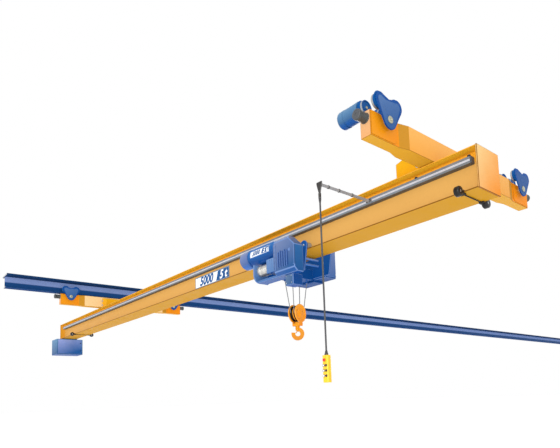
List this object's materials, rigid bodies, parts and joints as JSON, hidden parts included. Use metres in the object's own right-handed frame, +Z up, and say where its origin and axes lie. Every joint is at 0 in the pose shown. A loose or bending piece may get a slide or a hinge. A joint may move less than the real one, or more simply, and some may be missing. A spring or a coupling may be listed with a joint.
{
  "type": "underhung bridge crane",
  "caption": "Single-girder travelling crane that hangs from a runway beam on rocking wheel bogies, with a rope hoist, hook block and push-button pendant.",
  "frame": {"origin": "on the top face of the runway beam's top flange, on the beam's centre line, in the girder's centre plane", "axes": "+X along the girder away from the runway beam, +Y along the runway beam, +Z up"},
  "size_m": [15.85, 36, 3.2475],
  "materials": {
    "beam_blue": "satin blue enamel",
    "girder_amber": "semi-gloss amber enamel",
    "hoist_blue": "semi-gloss blue enamel",
    "hook_orange": "gloss orange enamel",
    "rail_zinc": "galvanised",
    "bare_steel": "turned",
    "drum_steel": "turned and grooved",
    "rope_steel": "stranded wire",
    "black_rubber": "moulded",
    "grey_rubber": "moulded",
    "cable_jacket": "extruded",
    "sign_white": "gloss white enamel",
    "control_plastic": "moulded"
  },
  "bodies": {
    "runway": {"runway_top_flange": "beam_blue", "runway_web": "beam_blue", "runway_bottom_flange": "beam_blue"},
    "bridge": {"girder_top_flange": "girder_amber", "girder_bottom_flange": "girder_amber", "girder_webs": "girder_amber", "girder_end_plates": "girder_amber", "capacity_sign": "sign_white", "pendant_rail": "rail_zinc", "rail_clips": "rail_zinc", "control_cabinet": "hoist_blue", "cabinet_hanger": "girder_amber", "travel_motor": "hoist_blue", "near_carriage_beam": "girder_amber", "far_carriage_beam": "girder_amber", "carriage_buffers": "grey_rubber", "near_saddle": "girder_amber", "far_saddle": "girder_amber", "pivot_pins": "bare_steel", "bogie_plates": "hoist_blue", "wheel_axles": "bare_steel", "pivot_spacers": "bare_steel", "stop_clamps": "bare_steel", "stop_buffers": "black_rubber"},
    "trolley": {"trolley_side_plates": "hoist_blue", "trolley_axles": "bare_steel", "trolley_tie_bars": "hoist_blue", "hoist_motor": "hoist_blue", "hoist_motor_cap": "hoist_blue", "hoist_gearbox": "hoist_blue", "rope_drum": "drum_steel", "drum_cheek": "hoist_blue", "rope_guide": "hoist_blue", "hoist_base": "hoist_blue", "limit_switch": "hoist_blue", "counterweight": "hoist_blue", "electric_box": "hoist_blue", "rope_frame": "hoist_blue", "rope_falls": "rope_steel"},
    "hook_block": {"hook_block_sheaves": "bare_steel", "hook_block_frame": "hook_orange"},
    "hook": {"hook": "hook_orange"},
    "pendant": {"pendant_runner": "rail_zinc", "pendant_arm": "rail_zinc", "pendant_yoke": "rail_zinc", "pendant_cable": "cable_jacket", "pendant_control": "control_plastic"},
    "front_first_wheels": {"front_first_wheels": "bare_steel"},
    "front_second_wheels": {"front_second_wheels": "bare_steel"},
    "rear_first_wheels": {"rear_first_wheels": "bare_steel"},
    "rear_second_wheels": {"rear_second_wheels": "bare_steel"},
    "trolley_far_wheels": {"trolley_far_wheels": "bare_steel"},
    "trolley_near_wheels": {"trolley_near_wheels": "bare_steel"}
  },
  "joints": [
    {"name": "bridge_travel", "type": "slide", "parent": "runway", "child": "bridge", "axis": [0, 1, 0], "range_m": [-1.2, 29.5]},
    {"name": "trolley_travel", "type": "slide", "parent": "bridge", "child": "trolley", "axis": [1, 0, 0], "range_m": [-9.75, 2.45]},
    {"name": "hook_lift", "type": "slide", "parent": "trolley", "child": "hook_block", "axis": [0, 0, 1], "range_m": [-3, 0.3], "deforming": ["rope_falls"]},
    {"name": "hook_swivel", "type": "hinge", "parent": "hook_block", "child": "hook", "pos_m": [8.35, 0, -2.235], "axis": [0, 0, 1], "continuous": true},
    {"name": "pendant_travel", "type": "slide", "parent": "bridge", "child": "pendant", "axis": [1, 0, 0], "range_m": [-13.6, 1.3]},
    {"name": "front_first_spin", "type": "hinge", "parent": "bridge", "child": "front_first_wheels", "pos_m": [11.06, -1.22, -0.2347], "axis": [1, 0, 0], "range_deg": [-19900, 820]},
    {"name": "front_second_spin", "type": "hinge", "parent": "bridge", "child": "front_second_wheels", "pos_m": [11.06, -0.94, -0.2347], "axis": [1, 0, 0], "range_deg": [-19900, 820]},
    {"name": "rear_first_spin", "type": "hinge", "parent": "bridge", "child": "rear_first_wheels", "pos_m": [11.06, 1.94, -0.2347], "axis": [1, 0, 0], "range_deg": [-19900, 820]},
    {"name": "rear_second_spin", "type": "hinge", "parent": "bridge", "child": "rear_second_wheels", "pos_m": [11.06, 2.22, -0.2347], "axis": [1, 0, 0], "range_deg": [-19900, 820]},
    {"name": "trolley_far_spin", "type": "hinge", "parent": "trolley", "child": "trolley_far_wheels", "pos_m": [7.84, 0, -1.0837], "axis": [0, 1, 0], "range_deg": [-10200, 2560]},
    {"name": "trolley_near_spin", "type": "hinge", "parent": "trolley", "child": "trolley_near_wheels", "pos_m": [8.86, 0, -1.0837], "axis": [0, 1, 0], "range_deg": [-10200, 2560]}
  ],
  "couplings": [
    {"joint": "front_first_spin", "follows": "bridge_travel", "rad_per_m": -11.765},
    {"joint": "front_second_spin", "follows": "bridge_travel", "rad_per_m": -11.765},
    {"joint": "rear_first_spin", "follows": "bridge_travel", "rad_per_m": -11.765},
    {"joint": "rear_second_spin", "follows": "bridge_travel", "rad_per_m": -11.765},
    {"joint": "trolley_far_spin", "follows": "trolley_travel", "rad_per_m": 18.182},
    {"joint": "trolley_near_spin", "follows": "trolley_travel", "rad_per_m": 18.182}
  ]
}
